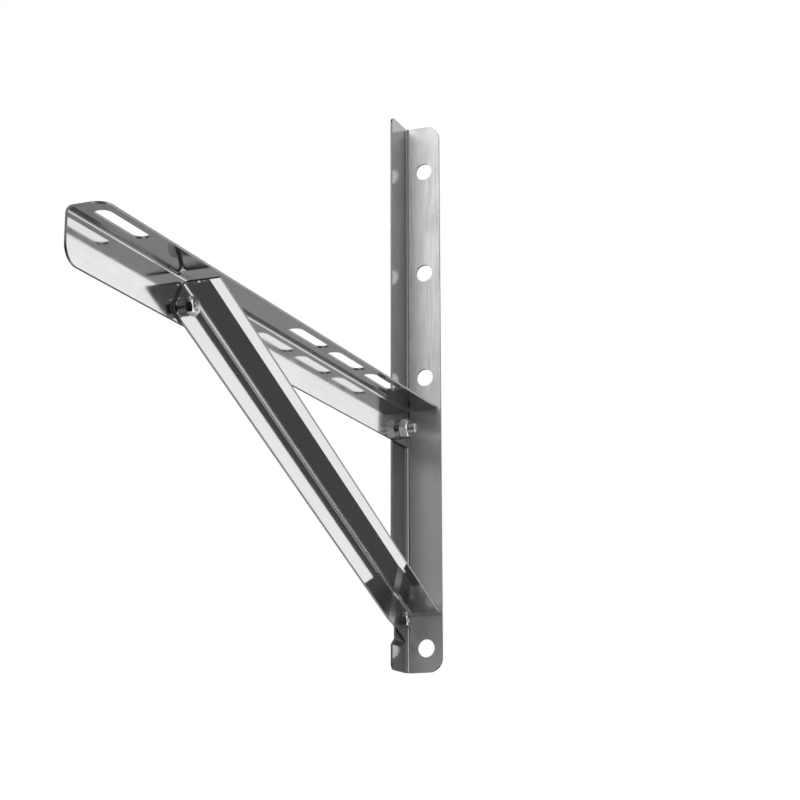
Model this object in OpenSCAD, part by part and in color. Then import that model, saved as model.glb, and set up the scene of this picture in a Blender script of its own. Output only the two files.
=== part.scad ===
// Wall bracket for the outdoor unit of an air conditioner: a post, an arm and a brace,
// each folded from steel sheet into an angle, bolted together into a rigid triangle.
// Millimetres. X = 0 is the line of the wall holes and of the arm's slots, Y = 0 the wall,
// and Z = 0 the top of the arm, where the unit's foot stands.

/* [Sheet] */
// Thickness of the steel sheet
sheet_t = 1.5; // [1:0.1:2.5]
// Inside radius of the folds
fold_r = 2.5; // [0.5:0.1:3]
// Distance from the post's outer face to the line of holes and slots
line_inset = 15.5; // [14:0.5:17]

/* [Post] */
// Height of the post
post_h = 420; // [400:1:600]
// Width of its wall flange, over the fold
post_w = 28; // [26:0.5:40]
// Depth of its side flange, from the wall
post_d = 31; // [29:0.5:45]
// Corner radius of the wall flange
wall_corner_r = 10.5; // [2:0.5:11]
// Corner radius of the side flange
side_corner_r = 4.5; // [1:0.5:10]
// Diameter of the wall holes
wall_hole_d = 13; // [8:0.5:14]
// Drop from the post's top to its highest hole
top_hole_drop = 36.5; // [15:0.5:45]
// Pitch of the three upper holes
wall_hole_pitch = 82; // [30:1:90]
// Height of the lowest hole above the post's foot
foot_hole_rise = 17.5; // [12:0.5:30]

/* [Arm] */
// Height of the arm's top above the post's foot
arm_rise = 196.5; // [150:0.5:300]
// Length of the arm, from the wall
arm_l = 474; // [440:1:650]
// Width of its top flange, over the fold
arm_w = 23.5; // [22:0.5:32]
// Height of its side flange
arm_h = 30.5; // [28:0.5:45]
// Gap between the arm's end and the post's wall flange
arm_gap = 0.3; // [0.1:0.1:2]
// Radius of the top flange's corner at the tip
tip_corner_r = 8; // [1:0.5:10]
// Radius of the side flange's corner at the tip
nose_r = 11; // [2:0.5:24]

/* [Slots] */
// Width of the slots for the unit's foot bolts
slot_w = 10; // [6:0.5:14]
// Length of the slots, end to end
slot_l = 48; // [20:1:58]
// Distance from the wall to the middle of the first slot
slot_first = 86.5; // [50:0.5:100]
// Pitch of the inner slots
slot_pitch = 60; // [58:1:80]
// Number of inner slots
slot_n = 3; // [1:1:4]
// Distance from the outer slot's end to the tip
slot_tip_gap = 9.5; // [4:0.5:20]

/* [Brace] */
// Width of the brace's upper flange, over the fold
brace_w = 24.5; // [20:0.5:32]
// Depth of its side flange
brace_d = 23.5; // [21:0.5:32]
// Length past the foot bolt
brace_foot_end = 10.5; // [8:0.5:11]
// Length past the arm bolt
brace_top_end = 9; // [7.5:0.5:11]
// Slant of its two ends from square, degrees
brace_end_slant = 8; // [0:1:15]
// Inward step of its foot
foot_step = 1; // [0.2:0.1:2]
// Distance from the foot bolt to the step
foot_step_at = 14; // [13:0.5:40]
// Length over which the brace steps
foot_step_run = 8; // [5:0.5:14]

/* [Pressed seat in the post] */
// Height of the seat's flat
seat_h = 28.6; // [26:0.2:32]
// Length of the slope round the flat
seat_slope = 3.7; // [3:0.1:5]
// Distance from the wall to the start of the slope
seat_from_wall = 6; // [5:0.5:8]
// Corner radius of the seat, at the start of the slope
seat_r = 8; // [6:0.5:12]

/* [Bolt places] */
// Distance from the wall to the post's two bolts
post_bolt_out = 20.5; // [20:0.5:22]
// Distance from the wall to the bolt between arm and brace
brace_bolt_out = 350; // [200:1:380]
// Drop from the arm's top to its bolts
arm_bolt_drop = 20; // [17:0.5:21]
// Height of the brace's foot bolt above the post's foot
foot_bolt_rise = 36; // [33:0.5:60]
// Distance from the brace's lower edge to its foot bolt
foot_bolt_edge = 11.3; // [9:0.1:12]
// Distance from the brace's lower edge to its arm bolt
arm_bolt_edge = 9.6; // [9:0.1:12]

/* [Fasteners] */
// Thread of the bolt between arm and post
post_bolt_d = 8; // [6:1:10]
// Thread of the two bolts of the brace
brace_bolt_d = 6; // [5:1:8]
// Clearance of the bolt holes over the thread
hole_clear = 0.5; // [0.2:0.1:1]
// Clearance between a thread and its nut, on the radius
thread_clear = 0.05; // [0.02:0.01:0.15]
// Diameter of the round head
round_head_d = 14.8; // [13:0.2:18]
// Height of the round head
round_head_h = 4; // [2.5:0.1:6]
// Height of the edge of the round head
round_head_rim = 1.2; // [0.5:0.1:2]
// Thickness of the collar under a hexagon head
collar_t = 1; // [0.6:0.1:2]
// Height of a hexagon head above its collar
hex_head_h = 3; // [2:0.1:5]
// Thickness of the larger flat washer
post_washer_t = 1.6; // [1:0.1:2.5]
// Thickness of the smaller flat washer
brace_washer_t = 1.1; // [0.8:0.1:2]
// Thickness of the spring washer
spring_washer_t = 1.4; // [1:0.1:2]
// Length of thread past the nut on the post
post_bolt_past = 5.9; // [1:0.1:12]
// Length of thread past the nuts of the brace
brace_bolt_past = 0.8; // [0.2:0.1:8]

/* [Hidden] */
$fn = 96;
// Overshoot of cutting shapes
cut = 1;
// A length beyond any piece, for cutting planes
far = 100;

// Outer faces of the three side flanges, which lie one on another
post_x = -line_inset;
arm_x = post_x + sheet_t;
brace_x = arm_x + sheet_t;
// Depth of the pressed seat: it meets the brace's foot past the thickness of the arm
seat_depth = sheet_t + foot_step;
// Wall thickness of a pressed slope carried to its edge
slope_grow = sheet_t * tan(atan2(seat_depth, seat_slope) / 2);

foot_z = -arm_rise;
top_hole_z = foot_z + post_h - top_hole_drop;
wall_hole_zs = concat([foot_z + foot_hole_rise], [for (i = [0:2]) top_hole_z - i * wall_hole_pitch]);
slot_outs = concat([for (i = [0:slot_n - 1]) slot_first + i * slot_pitch],
  [arm_l - slot_tip_gap - slot_l / 2]);

// The brace runs from its foot bolt up to the arm, its lower edge at the two set distances
arm_bolt_z = -arm_bolt_drop;
foot_bolt_z = foot_z + foot_bolt_rise;
brace_run = brace_bolt_out - post_bolt_out;
brace_climb = arm_bolt_z - foot_bolt_z;
bolt_span = norm([brace_run, brace_climb]);
brace_tilt = atan2(brace_climb, brace_run) + asin((foot_bolt_edge - arm_bolt_edge) / bolt_span);
brace_top_at = sqrt(bolt_span ^ 2 - (foot_bolt_edge - arm_bolt_edge) ^ 2);
step_turn = atan2(foot_step, foot_step_run);

// Faces that each stack of washers and nuts stands on
arm_inner_x = arm_x + sheet_t;
brace_inner_x = brace_x + sheet_t;
foot_inner_x = brace_inner_x + foot_step;
seat_outer_x = post_x + seat_depth;

function nut_flats(d) = 1.5 * d + 1;
function nut_h(d) = 0.8 * d;
function washer_d(d) = 2 * d - 1;
function collar_d(d) = 2.1 * d;

// Section of a folded angle, its outer corner at the origin and its legs along +X and -Y
module angle_section(leg_x, leg_y) {
  outer_r = fold_r + sheet_t;
  mirror([0, 1]) difference() {
    square([leg_x, leg_y]);
    translate([sheet_t, sheet_t]) difference() {
      square([leg_x, leg_y]);
      corner(fold_r);
    }
    corner(outer_r);
  }
}

// The part of a square corner at the origin that lies outside a rounding of radius r
module corner(r) {
  difference() {
    translate([-cut, -cut]) square(r + cut);
    translate([r, r]) circle(r);
  }
}

// A folded angle along -Y, its top flange towards +X and its side flange down
module angle_bar(length, top_w, side_h) {
  rotate([90, 0, 0]) linear_extrude(length) angle_section(top_w, side_h);
}

// Cuts a rounding of radius r through a flange at right angles to X, at a corner that
// points towards -Y and dir_z
module side_corner_cut(y, z, r, dir_z) {
  translate([-far / 2, y, z]) rotate([90, 0, 90])
    linear_extrude(far) mirror([0, dir_z > 0 ? 1 : 0]) corner(r);
}

// A hole along X at a bolt's place
module side_hole(y, z, d) {
  translate([-far / 2, y, z]) rotate([0, 90, 0]) cylinder(h = far, d = d);
}

// Raised block of the pressed seat: straight slopes on three sides, open towards -Y
module seat_block(grow, over) {
  half = seat_h / 2 + seat_slope + grow;
  r = seat_r + grow;
  deep = post_d - seat_from_wall + grow;
  translate([0, -post_d, foot_bolt_z]) {
    translate([0, deep - r, 0]) rotate([90, 0, 0]) linear_extrude(deep - r + over)
      polygon([[0, -half], [seat_depth, -half + seat_slope],
        [seat_depth, half - seat_slope], [0, half]]);
    translate([0, 0, -(half - r)]) linear_extrude(2 * (half - r))
      polygon([[0, -over], [seat_depth, -over], [seat_depth, deep - seat_slope], [0, deep]]);
    for (s = [-1, 1]) translate([0, deep - r, s * (half - r)]) rotate([0, 90, 0])
      cylinder(h = seat_depth, r1 = r, r2 = r - seat_slope);
  }
}

module post() color("silver") difference() {
  union() {
    translate([post_x, 0, foot_z]) linear_extrude(post_h) angle_section(post_w, post_d);
    translate([post_x + sheet_t, 0, 0]) seat_block(slope_grow, 0);
  }
  translate([post_x, 0, 0]) seat_block(0, cut);
  for (z = wall_hole_zs) translate([0, cut, z]) rotate([90, 0, 0])
    cylinder(h = sheet_t + 2 * cut, d = wall_hole_d);
  for (up = [false, true]) {
    z = foot_z + (up ? post_h : 0);
    translate([post_x + post_w, cut, z]) rotate([90, 0, 0]) linear_extrude(far)
      mirror([1, 0]) mirror([0, up ? 1 : 0]) corner(wall_corner_r);
    side_corner_cut(-post_d, z, side_corner_r, up ? 1 : -1);
  }
  side_hole(-post_bolt_out, arm_bolt_z, post_bolt_d + hole_clear);
  side_hole(-post_bolt_out, foot_bolt_z, brace_bolt_d + hole_clear);
}

module arm() color("silver") {
  start = sheet_t + arm_gap;
  difference() {
    translate([arm_x, -start, 0]) angle_bar(arm_l - start, arm_w, arm_h);
    // The side flange and its fold stop short of the post's fold
    translate([arm_x - cut, -start - fold_r, -arm_h - cut])
      cube([cut + sheet_t, fold_r + cut, arm_h + 2 * cut]);
    translate([arm_x + arm_w, -arm_l, -far / 2]) linear_extrude(far)
      mirror([1, 0]) corner(tip_corner_r);
    side_corner_cut(-arm_l, -arm_h, nose_r, -1);
    for (out = slot_outs) translate([0, -out, -far / 2]) slot_prism();
    side_hole(-post_bolt_out, arm_bolt_z, post_bolt_d + hole_clear);
    side_hole(-brace_bolt_out, arm_bolt_z, brace_bolt_d + hole_clear);
  }
}

// A slot with round ends, along Y
module slot_prism() {
  half = (slot_l - slot_w) / 2;
  translate([-slot_w / 2, -half, 0]) cube([slot_w, 2 * half, far]);
  for (s = [-1, 1]) translate([0, s * half, 0]) cylinder(h = far, d = slot_w);
}

// A solid bar along -Y with a rounded upper edge, for the inside or outside of the brace
module edge_bar(x, y, turn, inset, length) {
  translate([x, y, 0]) rotate([0, 0, -turn]) translate([inset, far, -inset]) rotate([90, 0, 0])
    linear_extrude(length + far) mirror([0, 1]) difference() {
      square([length, 2 * brace_d]);
      corner(fold_r + sheet_t - inset);
    }
}

// All that lies within the brace's outer faces, or with inset a sheet's thickness, its inner
// ones: the foot stands one step further in, and a slope joins it to the rest
module brace_body(inset, length) {
  intersection() {
    edge_bar(0, 0, 0, inset, length);
    union() {
      edge_bar(0, -foot_step_at - foot_step_run, step_turn, inset, length);
      edge_bar(foot_step, 0, 0, inset, length);
    }
  }
}

// The brace along -Y from its foot bolt at the origin
module brace_bar() {
  length = brace_top_at + far;
  difference() {
    translate([0, 0, brace_d - foot_bolt_edge]) difference() {
      brace_body(0, length);
      brace_body(sheet_t, length + cut);
    }
    translate([-cut, -length - cut, -3 * brace_d - foot_bolt_edge])
      cube([2 * far, length + 2 * far, 3 * brace_d]);
    translate([brace_w, -length - cut, -far]) cube([length + far, length + 2 * far, 2 * far]);
    // Ends, cut a little longer at the lower edge
    translate([-cut, brace_foot_end, 0]) rotate([brace_end_slant, 0, 0])
      translate([0, 0, -far]) cube([far, 2 * far, 2 * far]);
    translate([-cut, -brace_top_at - brace_top_end, arm_bolt_edge - foot_bolt_edge])
      rotate([-brace_end_slant, 0, 0]) translate([0, -2 * far, -far]) cube([far, 2 * far, 2 * far]);
  }
}

module brace() color("silver") difference() {
  translate([brace_x, -post_bolt_out, foot_bolt_z]) rotate([-brace_tilt, 0, 0]) brace_bar();
  side_hole(-post_bolt_out, foot_bolt_z, brace_bolt_d + hole_clear);
  side_hole(-brace_bolt_out, arm_bolt_z, brace_bolt_d + hole_clear);
}

// Places a fastener drawn along +Z so that it points along +X from x
module along_x(x, y, z) {
  translate([x, y, z]) rotate([0, 90, 0]) children();
}

// Hexagonal prism with chamfered corners; chamfers at its base too when both is true
module hex_prism(flats, h, both) {
  tip_r = flats / sqrt(3);
  flat_r = 0.475 * flats;
  bevel = (tip_r - flat_r) * tan(30);
  intersection() {
    cylinder(h = h, r = tip_r, $fn = 6);
    rotate_extrude() polygon([[0, 0], [both ? flat_r : tip_r, 0], [tip_r, both ? bevel : 0],
      [tip_r, h - bevel], [flat_r, h], [0, h]]);
  }
}

module nut(d, turn) {
  rotate([0, 0, turn]) difference() {
    hex_prism(nut_flats(d), nut_h(d), true);
    translate([0, 0, -cut]) cylinder(h = nut_h(d) + 2 * cut, r = d / 2 + thread_clear);
  }
}

module washer(d, t) {
  difference() {
    cylinder(h = t, d = washer_d(d));
    translate([0, 0, -cut]) cylinder(h = t + 2 * cut, d = d + hole_clear);
  }
}

// Spring washer: a ring split by a slanting cut
module split_ring(d, t) {
  difference() {
    cylinder(h = t, d = washer_d(d) - hole_clear);
    translate([0, 0, -cut]) cylinder(h = t + 2 * cut, d = d + hole_clear);
    rotate([30, 0, 0]) translate([d / 4, -t / 4, -d]) cube([d, t / 2, 2 * d]);
  }
}

// Bolt shank of length l from the underside of the head, with a chamfered end
module shank(d, l) {
  bevel = d / 10;
  rotate_extrude() polygon([[0, 0], [d / 2, 0], [d / 2, l - bevel], [d / 2 - bevel, l], [0, l]]);
}

// Domed head, on the far side of the sheet from the nut
module round_head() {
  rise = round_head_h - round_head_rim;
  ball_r = ((round_head_d / 2) ^ 2 + rise ^ 2) / (2 * rise);
  mirror([0, 0, 1]) intersection() {
    cylinder(h = round_head_h, d = round_head_d);
    translate([0, 0, round_head_h - ball_r]) sphere(ball_r);
  }
}

// Hexagon head on a round collar
module collar_head(d, turn) {
  mirror([0, 0, 1]) rotate([0, 0, turn]) {
    cylinder(h = collar_t, d = collar_d(d));
    translate([0, 0, collar_t]) hex_prism(nut_flats(d), hex_head_h, false);
  }
}

module arm_post_bolt() color("gainsboro") along_x(post_x, -post_bolt_out, arm_bolt_z) {
  shank(post_bolt_d, 2 * sheet_t + post_washer_t + nut_h(post_bolt_d) + post_bolt_past);
  round_head();
}

module arm_post_washer() color("gainsboro") along_x(arm_inner_x, -post_bolt_out, arm_bolt_z)
  washer(post_bolt_d, post_washer_t);

module arm_post_nut() color("gainsboro")
  along_x(arm_inner_x + post_washer_t, -post_bolt_out, arm_bolt_z) nut(post_bolt_d, 30);

module arm_brace_bolt() color("gainsboro") along_x(arm_x, -brace_bolt_out, arm_bolt_z) {
  shank(brace_bolt_d, 2 * sheet_t + brace_washer_t + spring_washer_t + nut_h(brace_bolt_d)
    + brace_bolt_past);
  collar_head(brace_bolt_d, 10);
}

module arm_brace_washer() color("gainsboro") along_x(brace_inner_x, -brace_bolt_out, arm_bolt_z)
  washer(brace_bolt_d, brace_washer_t);

module arm_brace_spring_washer() color("gainsboro")
  along_x(brace_inner_x + brace_washer_t, -brace_bolt_out, arm_bolt_z)
  split_ring(brace_bolt_d, spring_washer_t);

module arm_brace_nut() color("gainsboro")
  along_x(brace_inner_x + brace_washer_t + spring_washer_t, -brace_bolt_out, arm_bolt_z)
  nut(brace_bolt_d, 20);

module brace_post_bolt() color("gainsboro") along_x(seat_outer_x, -post_bolt_out, foot_bolt_z) {
  shank(brace_bolt_d, 2 * sheet_t + nut_h(brace_bolt_d) + brace_bolt_past);
  collar_head(brace_bolt_d, 0);
}

module brace_post_nut() color("gainsboro") along_x(foot_inner_x, -post_bolt_out, foot_bolt_z)
  nut(brace_bolt_d, 12);

post();
arm();
brace();
arm_post_bolt();
arm_post_washer();
arm_post_nut();
arm_brace_bolt();
arm_brace_washer();
arm_brace_spring_washer();
arm_brace_nut();
brace_post_bolt();
brace_post_nut();
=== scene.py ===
import math
import bmesh
import bpy
from mathutils import Matrix, Vector


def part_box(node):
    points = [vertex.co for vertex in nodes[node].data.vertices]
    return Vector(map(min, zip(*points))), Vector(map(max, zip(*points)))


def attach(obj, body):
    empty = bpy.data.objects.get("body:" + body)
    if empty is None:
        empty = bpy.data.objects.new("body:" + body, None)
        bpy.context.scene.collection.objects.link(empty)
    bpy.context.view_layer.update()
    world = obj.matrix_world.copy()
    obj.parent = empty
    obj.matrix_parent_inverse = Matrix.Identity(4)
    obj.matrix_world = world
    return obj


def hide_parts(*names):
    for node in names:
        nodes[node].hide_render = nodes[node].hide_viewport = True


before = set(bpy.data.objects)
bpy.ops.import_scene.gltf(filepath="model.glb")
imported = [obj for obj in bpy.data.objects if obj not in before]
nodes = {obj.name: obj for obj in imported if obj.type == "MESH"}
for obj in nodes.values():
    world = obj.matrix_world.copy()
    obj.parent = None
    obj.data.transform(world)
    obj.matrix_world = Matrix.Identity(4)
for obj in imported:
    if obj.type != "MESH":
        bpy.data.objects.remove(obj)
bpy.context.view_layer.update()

# Sizes and places of the source, in millimetres
MM = 0.001
SHEET = 1.5
FOLD = 4.0  # outside radius of the folds
FOOT_STEP = 1.0  # inward step of the brace's foot
POST_X, ARM_X, BRACE_X = -15.5, -14.0, -12.5  # outer faces of the side flanges
SEAT_X = POST_X + SHEET + FOOT_STEP  # outer face of the post's pressed seat
POST_BOLT_Y, BRACE_BOLT_Y = -20.5, -350
ARM_BOLT_Z, FOOT_BOLT_Z = -20, -160.5
FOOT_BOLT = Vector((0, POST_BOLT_Y, FOOT_BOLT_Z))
BRACE_TOP = 12.2  # brace's upper face above the line of its foot bolt
TILT = math.radians(23.37)  # of the brace
AXIS = Vector((0, -math.cos(TILT), math.sin(TILT)))  # along the brace, away from the wall
NORMAL = Vector((0, math.sin(TILT), math.cos(TILT)))  # square to its upper flange

# The camera, as fitted to the photograph: its place in millimetres, its turn and its lens
EYE = Vector((484.87, -1239.12, -332.47))
YAW, PITCH, ROLL = math.radians(22.194), math.radians(14.277), math.radians(-0.0956)
SENSOR, LENS = 36, 82.73
CLIP_START = 0.01


class Graph:
    """A short way to write shader nodes."""

    def __init__(self, tree):
        self.tree = tree
        tree.nodes.clear()

    def add(self, kind, **settings):
        node = self.tree.nodes.new(kind)
        for name, value in settings.items():
            setattr(node, name, value)
        return node

    def put(self, socket, value):
        """Link a socket to another one, or write a plain value on it."""
        if isinstance(value, bpy.types.NodeSocket):
            self.tree.links.new(value, socket)
        else:
            socket.default_value = value

    def math(self, operation, a, b=0.0):
        node = self.add("ShaderNodeMath", operation=operation)
        self.put(node.inputs[0], a)
        self.put(node.inputs[1], b)
        return node.outputs[0]

    def product(self, result, *factors):
        for factor in factors:
            result = self.math("MULTIPLY", result, factor)
        return result

    def vector(self, operation, output, a, b):
        node = self.add("ShaderNodeVectorMath", operation=operation)
        self.put(node.inputs[0], a)
        self.put(node.inputs[1], b)
        return node.outputs[output]

    def ramp(self, value, start, end, low=0.0, high=1.0):
        """A smooth step from low at start to high at end."""
        node = self.add("ShaderNodeMapRange", interpolation_type="SMOOTHSTEP")
        for socket, setting in zip(node.inputs, (value, start, end, low, high)):
            self.put(socket, setting)
        return node.outputs[0]

    def blend(self, share, a, b):
        """a where share is 0, b where it is 1."""
        node = self.add("ShaderNodeMix", data_type="FLOAT")
        for socket, setting in ((0, share), (2, a), (3, b)):
            self.put(node.inputs[socket], setting)
        return node.outputs[0]

    def noise(self, where, cells, detail, rough):
        node = self.add("ShaderNodeTexNoise")
        self.put(node.inputs["Vector"], where)
        node.inputs["Scale"].default_value = cells
        node.inputs["Detail"].default_value = detail
        node.inputs["Roughness"].default_value = rough
        return node.outputs["Fac"]

    def mapped(self, where, setting, value):
        node = self.add("ShaderNodeMapping", vector_type="POINT")
        self.put(node.inputs["Vector"], where)
        node.inputs[setting].default_value = value
        return node.outputs[0]

    def grey(self, level, tint=(1, 1, 1)):
        colour = self.add("ShaderNodeCombineColor")
        for socket, part in zip(colour.inputs, tint):
            self.put(socket, level if part == 1 else self.math("MULTIPLY", level, part))
        return colour.outputs[0]

    def bare_metal(self, colour, roughness, height, strength, depth):
        """A metal shader as the graph's result, and its bump. Strength and depth are the bump's."""
        shader = self.add("ShaderNodeBsdfPrincipled")
        shader.inputs["Metallic"].default_value = 1.0
        self.put(shader.inputs["Base Color"], colour)
        self.put(shader.inputs["Roughness"], roughness)
        bump = self.add("ShaderNodeBump")
        bump.inputs["Strength"].default_value = strength
        bump.inputs["Distance"].default_value = depth
        self.put(bump.inputs["Height"], height)
        self.put(shader.inputs["Normal"], bump.outputs[0])
        self.put(self.add("ShaderNodeOutputMaterial").inputs[0], shader.outputs[0])
        return shader, bump


def new_material(name):
    material = bpy.data.materials.new(name)
    material.use_nodes = True
    return material, Graph(material.node_tree)


# Noises of the steel's grain: cells per metre, where they are fixed, then detail and roughness
CLOUD = (60, 4.0, 0.6)
PATCH = (16, 2.0, 0.5)
FINE_LINES = (3.0, 0.6)
WIDE_LINES = (2.0, 0.5)
FINE, COARSE = 2400, 900  # rolling lines per metre of sheet, and grains of the fasteners
WIDE = 6  # a wide line is as wide as so many fine ones

# The part of each noise that is used, and what it does. Streaks and clouds darken the steel more
# than they lighten it.
LOW, HIGH = 0.3, 0.7
SHEEN_HIGH = 0.72
ROUGH_LINES = (0.4, 0.75)
LINES_ROUGHEN = 0.35
CLOUD_LIFT, LINES_LIFT = 1 / 2, 1 / 3
WIDE_SHARE = 1 / 2
LINE_BUMP, LINE_DEPTH = 0.03, 0.02 * MM
EDGE_SAMPLES = 4
STEEL_TINT = (0.995, 0.998, 1)

# How the grain is drawn out: along the arm and brace, along the post, or not at all
LENGTHWISE, UPRIGHT, EVEN = (1, 0.02, 1), (1, 1, 0.02), (1, 1, 1)

# Toward the brace's foot, above its bolt, the steel is duller, and darker with painted shade
FULL_SHADE_END, SHADE_FADE_END = 20, 34
FOOT_ROUGH, FOOT_SHADE_TONE = 0.27, 0.5


def foot_shade_share(g, place):
    """1 on the brace's foot, where shade is painted, falling to 0 further up."""
    foot = FOOT_BOLT.dot(AXIS)
    along = g.vector("DOT_PRODUCT", "Value", place, AXIS)
    return g.ramp(along, (foot + FULL_SHADE_END) * MM, (foot + SHADE_FADE_END) * MM, 1.0, 0.0)


def metal(name, base, rough, spread, grain, streaks, blotches, turn=0.0, edge=0.3, lines_per_metre=FINE,
          brushed=0.0, shaded_foot=False):
    """Bare steel: a cloudy sheen, fine rolling lines along the piece and softened edges.

    spread, streaks and blotches are shares by which the grain changes the roughness and the tone.
    edge is the radius of the softened edges, in millimetres.
    """
    material, g = new_material(name)
    place = g.add("ShaderNodeTexCoord").outputs["Object"]
    turned = g.mapped(place, "Rotation", (turn, 0, 0))
    along = g.mapped(turned, "Scale", grain)
    lines = g.noise(along, lines_per_metre, *FINE_LINES)
    wide = g.noise(along, lines_per_metre / WIDE, *WIDE_LINES)
    cloud = g.noise(turned, *CLOUD)
    patch = g.noise(turned, *PATCH)
    sheen = g.ramp(cloud, LOW, SHEEN_HIGH, rough * (1 - spread), rough * (1 + spread))
    roughness = g.math("ADD", sheen, g.ramp(lines, *ROUGH_LINES, 0.0, rough * LINES_ROUGHEN))
    tone = g.product(g.ramp(patch, LOW, HIGH, base * (1 - blotches), base * (1 + blotches)),
                     g.ramp(cloud, LOW, HIGH, 1 - blotches, 1 + blotches * CLOUD_LIFT),
                     g.ramp(lines, LOW, HIGH, 1 - streaks, 1 + streaks * LINES_LIFT),
                     g.ramp(wide, LOW, HIGH, 1 - streaks * WIDE_SHARE, 1 + streaks * LINES_LIFT))
    # Painted shade: the brace's foot is darkened here, as well as made rougher
    if shaded_foot:
        foot_shade = foot_shade_share(g, place)
        roughness = g.blend(foot_shade, roughness, FOOT_ROUGH)
        tone = g.product(tone, g.blend(foot_shade, 1.0, FOOT_SHADE_TONE))
    shader, bump = g.bare_metal(g.grey(tone, STEEL_TINT), roughness, lines, LINE_BUMP, LINE_DEPTH)
    soft = g.add("ShaderNodeBevel", samples=EDGE_SAMPLES)
    soft.inputs["Radius"].default_value = edge * MM
    g.put(bump.inputs["Normal"], soft.outputs[0])
    if brushed:
        # Brushed upright, so that it blurs what it shows sideways only
        shader.inputs["Anisotropic"].default_value = brushed
        facing = g.add("ShaderNodeNewGeometry").outputs["True Normal"]
        g.put(shader.inputs["Tangent"], g.vector("CROSS_PRODUCT", "Vector", facing, (0, 0, 1)))
    return material


# The cut edge of the sheet: its noises as above, and a fine dark line of painted shade along its rims,
# where the rounded normal is less like the flat one than the likeness limits below say
GRAIN = (900, 4.0, 0.6)
TEAR = (260, 3.0, 0.6)
TEAR_RANGE = (0.35, 0.65)
GRAIN_TONES, TEAR_TONES = (0.62, 0.8), (0.88, 1.05)
RIM_SHADE_WIDTH = 0.4 * MM
RIM_SHADE_LIKENESS = (0.86, 0.995)
RIM_SHADE_TONE = 0.22
RIM_SHADE_SAMPLES = 6
CUT_ROUGH = (0.26, 0.4)
CUT_BUMP, CUT_DEPTH = 0.12, 0.04 * MM
CUT_TINT = (1, 0.995, 0.985)


def sheared(name, shade):
    """The cut edge of the sheet: grainy and duller than its faces, toned darker and with a fine dark rim
    line, both painted shade.
    """
    material, g = new_material(name)
    place = g.add("ShaderNodeTexCoord").outputs["Object"]
    grain = g.noise(place, *GRAIN)
    tear = g.noise(place, *TEAR)
    facing = g.add("ShaderNodeNewGeometry").outputs["True Normal"]
    rounded = g.add("ShaderNodeBevel", samples=RIM_SHADE_SAMPLES)
    rounded.inputs["Radius"].default_value = RIM_SHADE_WIDTH
    likeness = g.vector("DOT_PRODUCT", "Value", facing, rounded.outputs[0])
    # Painted shade: a dark line along the rims of the cut, and the whole cut darkened by shade
    tone = g.product(g.ramp(grain, LOW, HIGH, *GRAIN_TONES),
                     g.ramp(tear, *TEAR_RANGE, *TEAR_TONES),
                     g.ramp(likeness, *RIM_SHADE_LIKENESS, RIM_SHADE_TONE, 1.0),
                     shade)
    g.bare_metal(g.grey(tone, CUT_TINT), g.ramp(tear, LOW, HIGH, *CUT_ROUGH), grain, CUT_BUMP, CUT_DEPTH)
    return material


# The post is brushed on its wall flange and polished on its side flange; the side flange's much darker
# base is painted shade
wall_face = metal("post_wall_steel", base=0.82, rough=0.4, spread=0.06, grain=UPRIGHT, streaks=0.02,
                  blotches=0.015, brushed=0.96)
# Painted shade: the side flange's base tone is set about half the wall flange's
shaded_post_face = metal("post_steel", base=0.39, rough=0.14, spread=0.15, grain=UPRIGHT, streaks=0.02,
                  blotches=0.02)
arm_face = metal("arm_steel", base=0.80, rough=0.085, spread=0.3, grain=LENGTHWISE, streaks=0.045,
                 blotches=0.03)
brace_face = metal("brace_steel", base=0.80, rough=0.03, spread=0.2, grain=LENGTHWISE, streaks=0.015,
                   blotches=0.01, turn=TILT, shaded_foot=True)
fold_face = metal("fold_steel", base=0.76, rough=0.15, spread=0.2, grain=LENGTHWISE, streaks=0.02,
                  blotches=0.02, turn=TILT, edge=0.8)
# Painted shade: cut edges are toned darker than the faces, and the post's cuts and the ends of arm and
# brace darker still
cut_face = sheared("cut_edge", 0.42)
deep_shaded_cut = sheared("cut_edge_deep_shade", 0.28)
bolt_face = metal("bolt_steel", base=0.72, rough=0.11, spread=0.3, grain=EVEN, streaks=0.08,
                  blotches=0.06, edge=0.15, lines_per_metre=COARSE)
# Painted shade: the washers are toned about half as light as the nuts, for the shade under the nuts
shaded_washer_face = metal("washer_steel", base=0.42, rough=0.2, spread=0.3, grain=EVEN, streaks=0.08,
                    blotches=0.06, edge=0.15, lines_per_metre=COARSE)
nut_face = metal("nut_steel", base=0.84, rough=0.12, spread=0.3, grain=EVEN, streaks=0.08,
                 blotches=0.06, edge=0.2, lines_per_metre=COARSE)

# Limits for a part of a polygon's normal: over FACES the polygon faces that way, and under LEVEL
# it doesn't. A polygon that faces neither flange's way by more than FLAT is on the round of the fold.
FACES, LEVEL, FLAT = 0.7, 0.1, 0.985
FRONT_FACES, END_FACES = 0.5, 0.3
TOLERANCE = 0.1

# Which polygons of a sheet are which, from a polygon's centre in millimetres and its normal. On a
# flange, a cut edge faces another way than the flange, and in a fold it faces along the piece.


def post_cut(centre, normal):
    if centre.x > POST_X + FOLD:
        return abs(normal.y) < FACES
    return abs(normal.x) < FACES if centre.y < -FOLD else abs(normal.z) > FACES


def on_wall(centre, normal):
    return centre.y > -SHEET - TOLERANCE and abs(normal.y) > FACES


def arm_cut(centre, normal):
    if centre.x > ARM_X + FOLD:
        return abs(normal.z) < FACES
    return abs(normal.x) < FACES if centre.z < -FOLD else abs(normal.y) > FACES


def arm_front(centre, normal):
    return arm_cut(centre, normal) and normal.y < -FRONT_FACES


def arm_fold(centre, normal):
    return abs(normal.y) < LEVEL and max(abs(normal.x), abs(normal.z)) < FLAT


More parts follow.
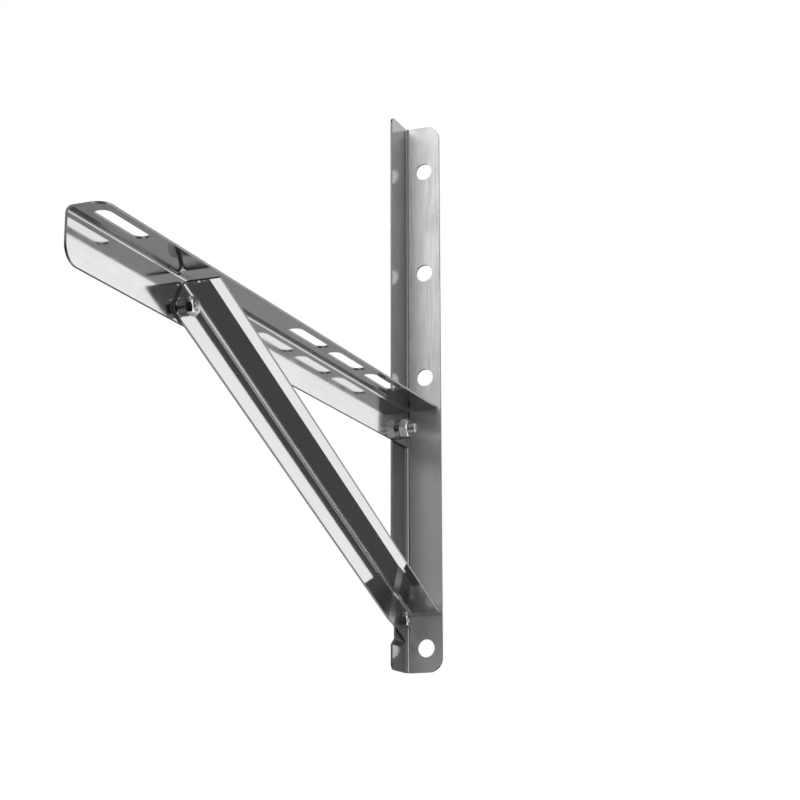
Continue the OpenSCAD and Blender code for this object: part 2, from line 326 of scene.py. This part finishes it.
def brace_cut(centre, normal):
    if centre.x > BRACE_X + FOLD + FOOT_STEP:
        return abs(normal.dot(NORMAL)) < FACES
    above_foot = (centre - FOOT_BOLT).dot(NORMAL)
    if above_foot < BRACE_TOP - FOLD:
        return abs(normal.x) < FACES
    return abs(normal.dot(AXIS)) > FACES


def brace_end(centre, normal):
    return brace_cut(centre, normal) and normal.dot(AXIS) > END_FACES


def brace_fold(centre, normal):
    return abs(normal.dot(AXIS)) < LEVEL and max(abs(normal.x), abs(normal.dot(NORMAL))) < FLAT


def dress_sheet(node, face, *special):
    """Give a folded sheet its main material, and each polygon the first special one that fits it."""
    mesh = nodes[node].data
    mesh.materials.clear()
    mesh.materials.append(face)
    for material, _ in special:
        mesh.materials.append(material)
    for polygon in mesh.polygons:
        polygon.material_index = 0
        for index, (_, fits) in enumerate(special, 1):
            if fits(polygon.center / MM, polygon.normal):
                polygon.material_index = index
                break


def dress_fastener(node):
    mesh = nodes[node].data
    mesh.materials.clear()
    if node.endswith("nut"):
        mesh.materials.append(nut_face)
    elif node.endswith("washer"):
        mesh.materials.append(shaded_washer_face)
    else:
        mesh.materials.append(bolt_face)


SHEETS = ("post", "arm", "brace")
dress_sheet("post", shaded_post_face, (deep_shaded_cut, post_cut), (wall_face, on_wall))
dress_sheet("arm", arm_face, (deep_shaded_cut, arm_front), (cut_face, arm_cut), (fold_face, arm_fold))
dress_sheet("brace", brace_face, (deep_shaded_cut, brace_end), (cut_face, brace_cut), (fold_face, brace_fold))
for node in nodes:
    if node not in SHEETS:
        dress_fastener(node)

# The thread: how finely it is meshed, how deep it is, and the form of its groove, which is a
# triangle wave made steeper, lowered by GROOVE_CREST and cut off flat at the crest and the root
AROUND, RINGS_PER_TURN = 48, 10
THREAD_DEPTH = 0.58  # of the pitch
GROOVE_STEEP, GROOVE_CREST = 1.35, 0.12
RUN_IN = 0.4  # of the pitch
TIP_BEVEL = 0.1  # of the diameter
SHANK_TOLERANCE = 0.02
UNDER_HEAD = 0.1  # plain shank under the head


def thread_radius(d, pitch, turn, done, left):
    """Radius at a place of the thread: turn is its share of a turn, done and left are lengths."""
    groove = min(1.0, max(0.0, GROOVE_STEEP * (1 - abs(2 * turn - 1)) - GROOVE_CREST))
    groove *= min(1.0, done / (RUN_IN * pitch))
    radius = d / 2 - THREAD_DEPTH * pitch * groove
    bevel = TIP_BEVEL * d
    return min(radius, d / 2 - bevel + left) if left < bevel else radius


def threaded(node, name, d, pitch, y, z, head_x):
    """The bolt of the source, with its plain shank cut to a thread from its head to its end."""
    start = head_x + UNDER_HEAD
    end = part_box(node)[1][0] / MM
    bm = bmesh.new()
    bm.from_mesh(nodes[node].data)
    shank_radius = (d / 2 + SHANK_TOLERANCE) * MM
    shank = [face for face in bm.faces
             if max(v.co.x for v in face.verts) / MM > start and
             all(math.hypot(v.co.y - y * MM, v.co.z - z * MM) < shank_radius for v in face.verts)]
    bmesh.ops.delete(bm, geom=shank, context="FACES")
    steps = int((end - start) / pitch * RINGS_PER_TURN) + 1
    rings = []
    for i in range(steps + 1):
        x = start + (end - start) * i / steps
        ring = []
        for k in range(AROUND):
            angle = 2 * math.pi * k / AROUND
            turn = ((x - start) / pitch - k / AROUND) % 1.0
            r = thread_radius(d, pitch, turn, x - start, end - x)
            across, up = r * math.cos(angle), r * math.sin(angle)
            ring.append(bm.verts.new((x * MM, (y + across) * MM, (z + up) * MM)))
        rings.append(ring)
    for a, b in zip(rings, rings[1:]):
        for k in range(AROUND):
            j = (k + 1) % AROUND
            bm.faces.new((a[k], a[j], b[j], b[k])).smooth = True
    tip = bm.verts.new((end * MM, y * MM, z * MM))
    for k in range(AROUND):
        bm.faces.new((rings[-1][k], rings[-1][(k + 1) % AROUND], tip))
    mesh = bpy.data.meshes.new(name)
    bm.to_mesh(mesh)
    bm.free()
    mesh.materials.append(bolt_face)
    bolt = bpy.data.objects.new(name, mesh)
    bpy.context.scene.collection.objects.link(bolt)
    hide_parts(node)
    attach(bolt, "root")


threaded("arm_post_bolt", "arm_post_threaded_bolt", d=8, pitch=1.25, y=POST_BOLT_Y, z=ARM_BOLT_Z,
         head_x=POST_X)
threaded("arm_brace_bolt", "arm_brace_threaded_bolt", d=6, pitch=1.0, y=BRACE_BOLT_Y, z=ARM_BOLT_Z,
         head_x=ARM_X)
threaded("brace_post_bolt", "brace_post_threaded_bolt", d=6, pitch=1.0, y=POST_BOLT_Y, z=FOOT_BOLT_Z,
         head_x=SEAT_X)


def add_camera():
    forward = Vector((-math.sin(YAW) * math.cos(PITCH), math.cos(YAW) * math.cos(PITCH), math.sin(PITCH)))
    level = Vector((math.cos(YAW), math.sin(YAW), 0))
    upright = level.cross(forward)
    right = math.cos(ROLL) * level + math.sin(ROLL) * upright
    up = math.cos(ROLL) * upright - math.sin(ROLL) * level
    turn = Matrix((right, up, -forward)).transposed()
    camera = bpy.data.objects.new("camera", bpy.data.cameras.new("camera"))
    bpy.context.scene.collection.objects.link(camera)
    camera.matrix_world = Matrix.Translation(EYE * MM) @ turn.to_4x4()
    camera.data.sensor_width = SENSOR
    camera.data.lens = LENS
    camera.data.clip_start = CLIP_START
    bpy.context.scene.camera = camera


add_camera()


def plain_material(name, kind, setting, value):
    """A material of one shader with one value set, for the floor and the light card."""
    material, g = new_material(name)
    shader = g.add(kind)
    shader.inputs[setting].default_value = value
    g.put(g.add("ShaderNodeOutputMaterial").inputs[0], shader.outputs[0])
    return material


def panel(name, centre, half_u, half_v, material):
    """A flat rectangle of the studio, from its centre and half of its two sides."""
    mesh = bpy.data.meshes.new(name)
    corners = [centre + a * half_u + b * half_v for a, b in ((-1, -1), (1, -1), (1, 1), (-1, 1))]
    mesh.from_pydata(corners, [], [(0, 1, 2, 3)])
    mesh.materials.append(material)
    board = bpy.data.objects.new(name, mesh)
    bpy.context.scene.collection.objects.link(board)
    return board


# The floor, in metres
FLOOR_COLOUR = (0.85, 0.85, 0.85, 1)
FLOOR_CENTRE = Vector((0, -0.2, -0.6))
FLOOR_HALF = 3
floor = panel("floor", FLOOR_CENTRE, Vector((FLOOR_HALF, 0, 0)), Vector((0, FLOOR_HALF, 0)),
              plain_material("floor", "ShaderNodeBsdfDiffuse", "Color", FLOOR_COLOUR))
floor.visible_glossy = False

# A narrow light card below the brace and along it, which the brace's side flange shows as a white
# band. The band's edges are given below the fold's inner corner, in millimetres, and its ends along
# the brace from the foot bolt.
CARD_LIGHT = 1.25
CARD_AWAY = 80.0  # from the fold's inner corner
BAND_TOP, BAND_BOTTOM = 10.2, 25.5
BAND_START, BAND_END = -50.0, 285.0


def add_card():
    corner = FOOT_BOLT + (BRACE_TOP - SHEET) * NORMAL + Vector((BRACE_X + SHEET, 0, 0))
    to_eye = EYE - corner
    away = Vector((to_eye.x, 0, 0)) + to_eye.dot(NORMAL) * NORMAL
    reach = away.length
    away.normalize()
    side = away.cross(AXIS)
    if side.x < 0:
        side = -side
    share = NORMAL.dot(side) * (1 + CARD_AWAY / reach)
    top, bottom = BAND_TOP * share, BAND_BOTTOM * share
    middle = corner + CARD_AWAY * away + (top + bottom) / 2 * side + (BAND_START + BAND_END) / 2 * AXIS
    card = panel("card", middle * MM, (bottom - top) / 2 * side * MM,
                 (BAND_END - BAND_START) / 2 * AXIS * MM,
                 plain_material("card", "ShaderNodeEmission", "Strength", CARD_LIGHT))
    card.visible_camera = False
    card.visible_diffuse = False
    card.visible_shadow = False
    card.visible_transmission = False


add_card()


# The studio's light, written by direction. A pair named X, Y or Z is where one field of light
# fades into the next: x is the direction's part to the right, y towards the wall and z up.
WALL_SIDE_Y = (-0.35, 0.15)
RIGHT_SIDE_X = (0.6, 0.8)

# Towards the wall: a backdrop down to a floor, whose left end is lit apart from the rest
BACKDROP_Z, BACKDROP_LIGHT = (-0.24, -0.08), 1.0
LEFT_END_X = (-0.32, -0.18)
LEFT_FLOOR_Z, LEFT_FLOOR_LIGHTS = (-0.68, -0.52), (1.0, 0.06)
FLOOR_Z, FLOOR_LIGHTS = (-0.5, -0.27), (0.08, 0.33)

# Behind the camera, from below upwards: a pale floor, dark ground, a strip under the window's
# sill, the window's height and the ceiling
PALE_FLOOR_Z, PALE_FLOOR_LIGHT = (-0.62, -0.42), 0.28
GROUND_Z, GROUND_LIGHT = (-0.1, 0.02), 0.005
UNDER_SILL_X, UNDER_SILL_LIGHTS = (-0.15, 0.15), (0.19, 0.07)
SILL_Z = (0.185, 0.285)
CEILING_Z, CEILING_LIGHT = (0.52, 0.68), 0.04
LEFT_WALL_X, LEFT_WALL_LIGHT = (-0.8, -0.62), 0.18
WINDOW_LEFT_X, WINDOW_RIGHT_X = (-0.52, -0.4), (-0.05, 0.15)
WINDOW_LIGHT, BESIDE_WINDOW_LIGHT = 2.6, 0.42

# On the right: a large soft box, which reaches further round at the bracket's own height
BOX_LIGHT = 1.2
LONG_REACH_Y, SHORT_REACH_Y = (-0.6, -0.3), (-0.35, 0.0)
SHORT_ABOVE_Z, SHORT_BELOW_Z = (0.19, 0.27), (-0.08, 0.06)
BESIDE_BOX_Z, BESIDE_BOX_LIGHTS = (-0.1, 0.1), (0.05, 0.15)


def towards_wall(g, x, z):
    """A white backdrop down to a grey floor, which is white again low on the left."""
    left_floor = g.ramp(z, *LEFT_FLOOR_Z, *LEFT_FLOOR_LIGHTS)
    right_floor = g.ramp(z, *FLOOR_Z, *FLOOR_LIGHTS)
    whole_floor = g.blend(g.ramp(x, *LEFT_END_X), left_floor, right_floor)
    return g.blend(g.ramp(z, *BACKDROP_Z), whole_floor, BACKDROP_LIGHT)


def behind_camera(g, x, z):
    """A dark room: a bright window high up on the left, a wall on the left and a pale floor."""
    in_window = g.product(g.ramp(x, *WINDOW_LEFT_X), g.ramp(x, *WINDOW_RIGHT_X, 1.0, 0.0))
    window = g.blend(in_window, BESIDE_WINDOW_LIGHT, WINDOW_LIGHT)
    under_sill = g.ramp(x, *UNDER_SILL_X, *UNDER_SILL_LIGHTS)
    upper = g.blend(g.ramp(z, *CEILING_Z), g.ramp(z, *SILL_Z, under_sill, window), CEILING_LIGHT)
    room = g.blend(g.ramp(z, *GROUND_Z), GROUND_LIGHT, upper)
    room = g.blend(g.ramp(x, *LEFT_WALL_X), LEFT_WALL_LIGHT, room)
    return g.blend(g.ramp(z, *PALE_FLOOR_Z), PALE_FLOOR_LIGHT, room)


def soft_box(g, y, z):
    short = g.math("MAXIMUM", g.ramp(z, *SHORT_ABOVE_Z), g.ramp(z, *SHORT_BELOW_Z, 1.0, 0.0))
    reach = [g.blend(short, far, near) for far, near in zip(LONG_REACH_Y, SHORT_REACH_Y)]
    return g.ramp(y, *reach, g.ramp(z, *BESIDE_BOX_Z, *BESIDE_BOX_LIGHTS), BOX_LIGHT)


def add_world():
    """The light that the bracket shows and is lit by, and plain white for the camera itself."""
    world = bpy.data.worlds.new("studio")
    bpy.context.scene.world = world
    world.use_nodes = True
    g = Graph(world.node_tree)
    direction = g.add("ShaderNodeSeparateXYZ")
    g.put(direction.inputs[0], g.add("ShaderNodeTexCoord").outputs["Generated"])
    x, y, z = direction.outputs
    light = g.blend(g.ramp(y, *WALL_SIDE_Y), behind_camera(g, x, z), towards_wall(g, x, z))
    light = g.blend(g.ramp(x, *RIGHT_SIDE_X), light, soft_box(g, y, z))
    seen_by_camera = g.add("ShaderNodeLightPath").outputs["Is Camera Ray"]
    background = g.add("ShaderNodeBackground")
    g.put(background.inputs["Color"], g.grey(g.blend(seen_by_camera, light, 1.0)))
    g.put(g.add("ShaderNodeOutputWorld").inputs[0], background.outputs[0])


add_world()
bpy.context.scene.view_settings.view_transform = "Standard"
